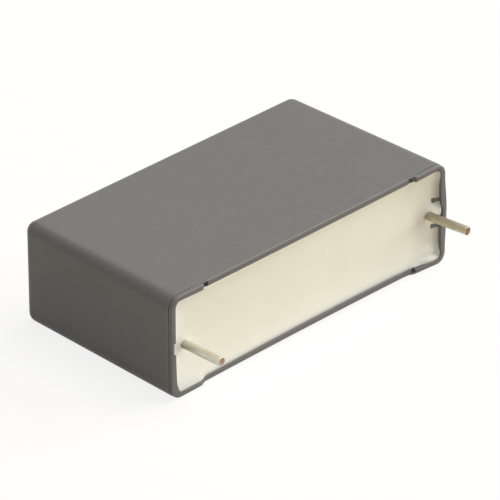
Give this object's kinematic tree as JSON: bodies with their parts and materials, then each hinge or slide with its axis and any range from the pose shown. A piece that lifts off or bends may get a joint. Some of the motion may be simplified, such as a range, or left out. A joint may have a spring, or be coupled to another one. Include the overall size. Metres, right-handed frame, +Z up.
{
  "type": "film capacitor",
  "caption": "Boxed film capacitor: a drafted grey plastic case potted with cream resin round a flat film winding, with straight tinned wire leads that stand out of the open side.",
  "frame": {"origin": "centre of the underside of the case, on the surface that it lies on", "axes": "+X along the lead pitch, -Y the way the leads point, +Z up through the thickness of the case"},
  "size_m": [0.042, 0.0283, 0.0123],
  "materials": {
    "case_plastic": "fine-grained grey moulding",
    "resin": "cast cream resin, satin",
    "film": "wound metallised film",
    "sprayed_metal": "rough sprayed zinc layer",
    "tinned_wire": "dull tinned copper wire with bare cut ends"
  },
  "bodies": {
    "root": {"case": "case_plastic", "potting_resin": "resin", "film_winding": "film", "end_contact_left": "sprayed_metal", "end_contact_right": "sprayed_metal", "lead_left": "tinned_wire", "lead_right": "tinned_wire"}
  },
  "joints": []
}
